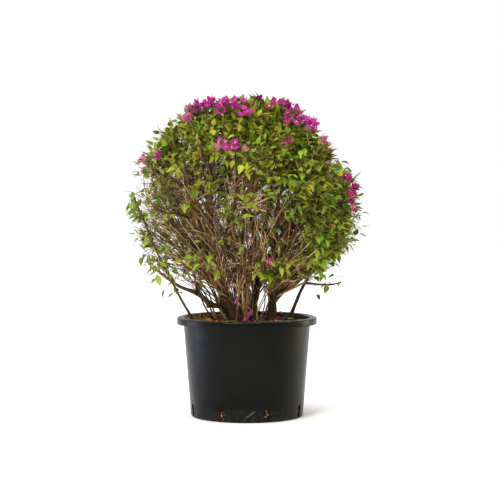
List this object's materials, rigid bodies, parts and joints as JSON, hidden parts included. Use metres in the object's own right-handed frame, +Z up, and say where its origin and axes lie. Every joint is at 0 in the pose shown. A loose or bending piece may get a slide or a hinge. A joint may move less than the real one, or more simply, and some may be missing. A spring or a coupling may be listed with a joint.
{
  "type": "potted bougainvillea bush",
  "caption": "Ball-clipped bougainvillea bush: a clump of brown stems and bare boughs under a dome of green foliage with magenta bracts, in a round black nursery pot.",
  "frame": {"origin": "centre of the pot's flat underside, on the surface that it stands on", "axes": "+Z up, -Y towards the viewer of the front, +X to the viewer's right"},
  "size_m": [0.8549, 0.8394, 1.1563],
  "materials": {
    "pot_plastic": "satin",
    "bark_mix": "matte",
    "bark": "matte",
    "foliage": "matte"
  },
  "bodies": {
    "root": {"back_left_trunk": "bark", "back_trunk": "bark", "bough_to_shoulder_foliage_1": "bark", "bough_to_shoulder_foliage_2": "bark", "bough_to_shoulder_foliage_3": "bark", "bough_to_shoulder_foliage_4": "bark", "bough_to_shoulder_foliage_5": "bark", "bough_to_shoulder_foliage_6": "bark", "bough_to_shoulder_foliage_7": "bark", "bough_to_shoulder_foliage_8": "bark", "bough_to_top_foliage": "bark", "bough_to_upper_foliage_1": "bark", "bough_to_upper_foliage_2": "bark", "bough_to_upper_foliage_3": "bark", "bough_to_upper_foliage_4": "bark", "bough_to_upper_foliage_5": "bark", "bough_to_upper_foliage_6": "bark", "centre_trunk": "bark", "front_right_bough": "bark", "front_spray": "foliage", "front_spray_bough": "bark", "front_stem": "bark", "left_arching_shoot": "bark", "left_bare_bough_1": "bark", "left_bare_bough_2": "bark", "left_bare_bough_3": "bark", "left_spray_1": "foliage", "left_spray_2": "foliage", "left_spray_3": "foliage", "left_trunk": "bark", "low_left_limb": "bark", "low_left_limb_outer": "bark", "low_left_limb_riser": "bark", "low_left_limb_upper": "bark", "pot": "pot_plastic", "right_low_bough": "bark", "right_outer_bough": "bark", "right_stem": "bark", "right_trunk": "bark", "shoulder_foliage_1": "foliage", "shoulder_foliage_2": "foliage", "shoulder_foliage_3": "foliage", "shoulder_foliage_4": "foliage", "shoulder_foliage_5": "foliage", "shoulder_foliage_6": "foliage", "shoulder_foliage_7": "foliage", "shoulder_foliage_8": "foliage", "skirt_foliage_1": "foliage", "skirt_foliage_2": "foliage", "skirt_foliage_3": "foliage", "skirt_foliage_4": "foliage", "skirt_foliage_5": "foliage", "soil": "bark_mix", "top_foliage": "foliage", "upper_foliage_1": "foliage", "upper_foliage_2": "foliage", "upper_foliage_3": "foliage", "upper_foliage_4": "foliage", "upper_foliage_5": "foliage", "upper_foliage_6": "foliage"}
  },
  "joints": []
}
